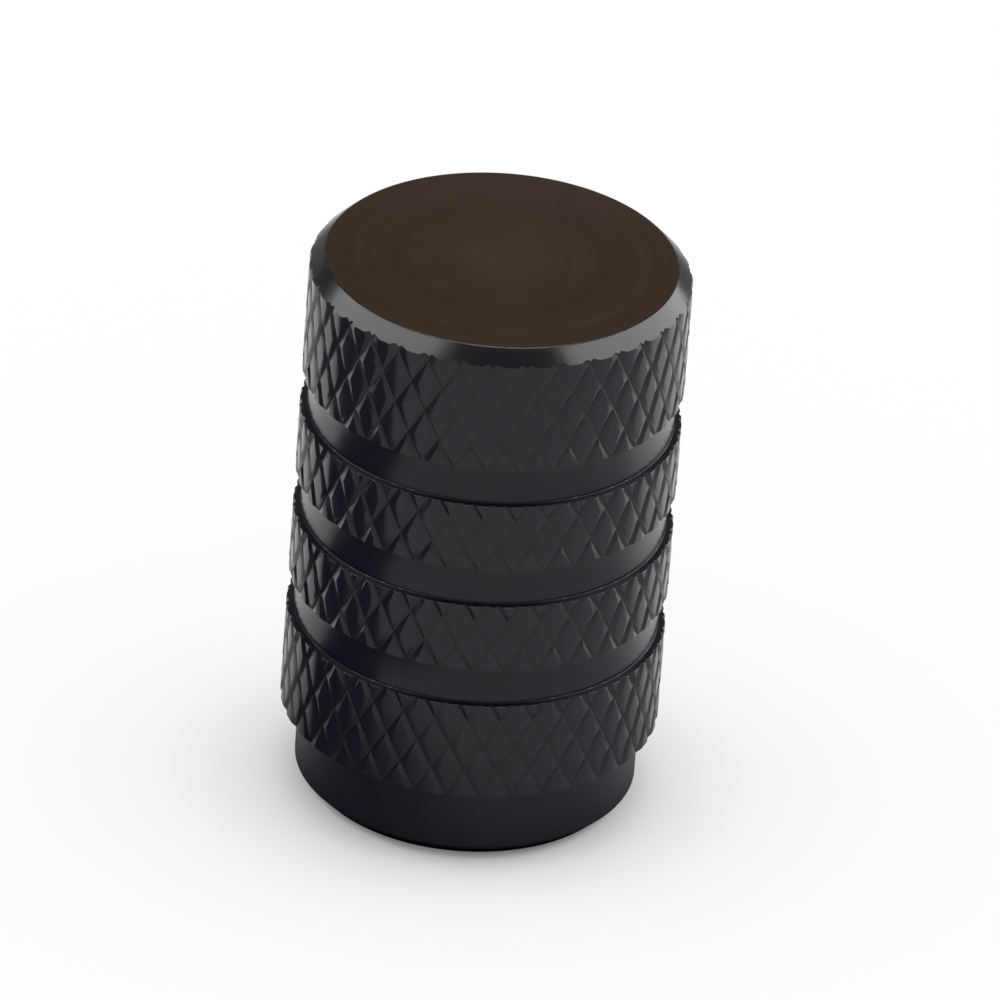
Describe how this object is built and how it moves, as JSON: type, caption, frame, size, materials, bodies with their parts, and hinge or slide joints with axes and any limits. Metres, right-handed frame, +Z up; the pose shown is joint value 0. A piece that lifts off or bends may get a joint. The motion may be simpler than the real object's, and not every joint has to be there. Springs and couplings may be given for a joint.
{
  "type": "tyre valve cap",
  "caption": "Black anodised aluminium tyre valve cap with knurled bands, plain grooves and a narrower skirt; its blind threaded bore screws onto a valve stem and seals on a rubber washer.",
  "frame": {"origin": "centre of the open mouth, in the plane of the rim that the cap stands on", "axes": "+Z up the cap's axis to the flat crown; X and Y across it, with the knurl the same along both"},
  "size_m": [0.0102, 0.0102, 0.0159],
  "materials": {
    "anodised_aluminium": "black anodised, satin, finely turned on the crown, chamfer, grooves and skirt",
    "seal_rubber": "matte moulded black rubber"
  },
  "bodies": {
    "root": {"cap_body": "anodised_aluminium", "sealing_washer": "seal_rubber"}
  },
  "joints": []
}
